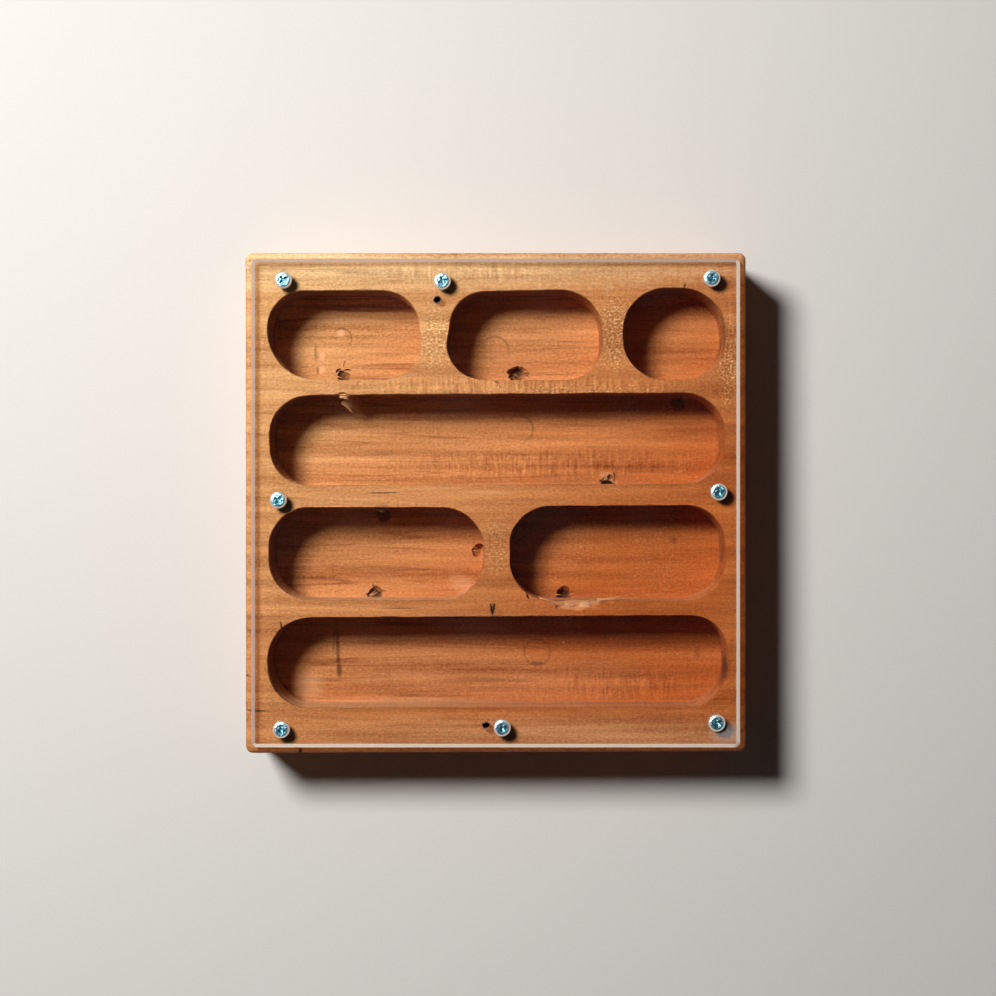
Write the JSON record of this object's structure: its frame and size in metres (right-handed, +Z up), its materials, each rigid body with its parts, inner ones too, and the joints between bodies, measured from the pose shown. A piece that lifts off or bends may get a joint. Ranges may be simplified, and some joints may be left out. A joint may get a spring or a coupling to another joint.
{
  "type": "ant habitat",
  "caption": "Square hardwood ant habitat with routed chambers joined by drilled passages, under a clear bevelled cover held by pan head screws.",
  "frame": {"origin": "middle of the block's underside", "axes": "+Z up out of the open face and the cover, +Y towards the back row of chambers, +X along the rows to the right"},
  "size_m": [0.2, 0.2, 0.0464],
  "materials": {
    "hardwood": "planed and routed, bare",
    "clear_acrylic": "polished faces, bevelled edges",
    "zinc_steel": "bright zinc plated"
  },
  "bodies": {
    "block": {"wood_block": "hardwood"},
    "cover": {"clear_cover": "clear_acrylic"},
    "screw_back_left": {"screw_back_left": "zinc_steel"},
    "screw_back_middle": {"screw_back_middle": "zinc_steel"},
    "screw_back_right": {"screw_back_right": "zinc_steel"},
    "screw_middle_left": {"screw_middle_left": "zinc_steel"},
    "screw_middle_right": {"screw_middle_right": "zinc_steel"},
    "screw_front_left": {"screw_front_left": "zinc_steel"},
    "screw_front_middle": {"screw_front_middle": "zinc_steel"},
    "screw_front_right": {"screw_front_right": "zinc_steel"}
  },
  "joints": [
    {"name": "cover_lift", "type": "slide", "parent": "block", "child": "cover", "axis": [0, 0, 1], "range_m": [0, 0.06]},
    {"name": "screw_back_left_out", "type": "slide", "parent": "cover", "child": "screw_back_left", "axis": [0, 0, 1], "range_m": [0, 0.025]},
    {"name": "screw_back_middle_out", "type": "slide", "parent": "cover", "child": "screw_back_middle", "axis": [0, 0, 1], "range_m": [0, 0.025]},
    {"name": "screw_back_right_out", "type": "slide", "parent": "cover", "child": "screw_back_right", "axis": [0, 0, 1], "range_m": [0, 0.025]},
    {"name": "screw_middle_left_out", "type": "slide", "parent": "cover", "child": "screw_middle_left", "axis": [0, 0, 1], "range_m": [0, 0.025]},
    {"name": "screw_middle_right_out", "type": "slide", "parent": "cover", "child": "screw_middle_right", "axis": [0, 0, 1], "range_m": [0, 0.025]},
    {"name": "screw_front_left_out", "type": "slide", "parent": "cover", "child": "screw_front_left", "axis": [0, 0, 1], "range_m": [0, 0.025]},
    {"name": "screw_front_middle_out", "type": "slide", "parent": "cover", "child": "screw_front_middle", "axis": [0, 0, 1], "range_m": [0, 0.025]},
    {"name": "screw_front_right_out", "type": "slide", "parent": "cover", "child": "screw_front_right", "axis": [0, 0, 1], "range_m": [0, 0.025]}
  ]
}
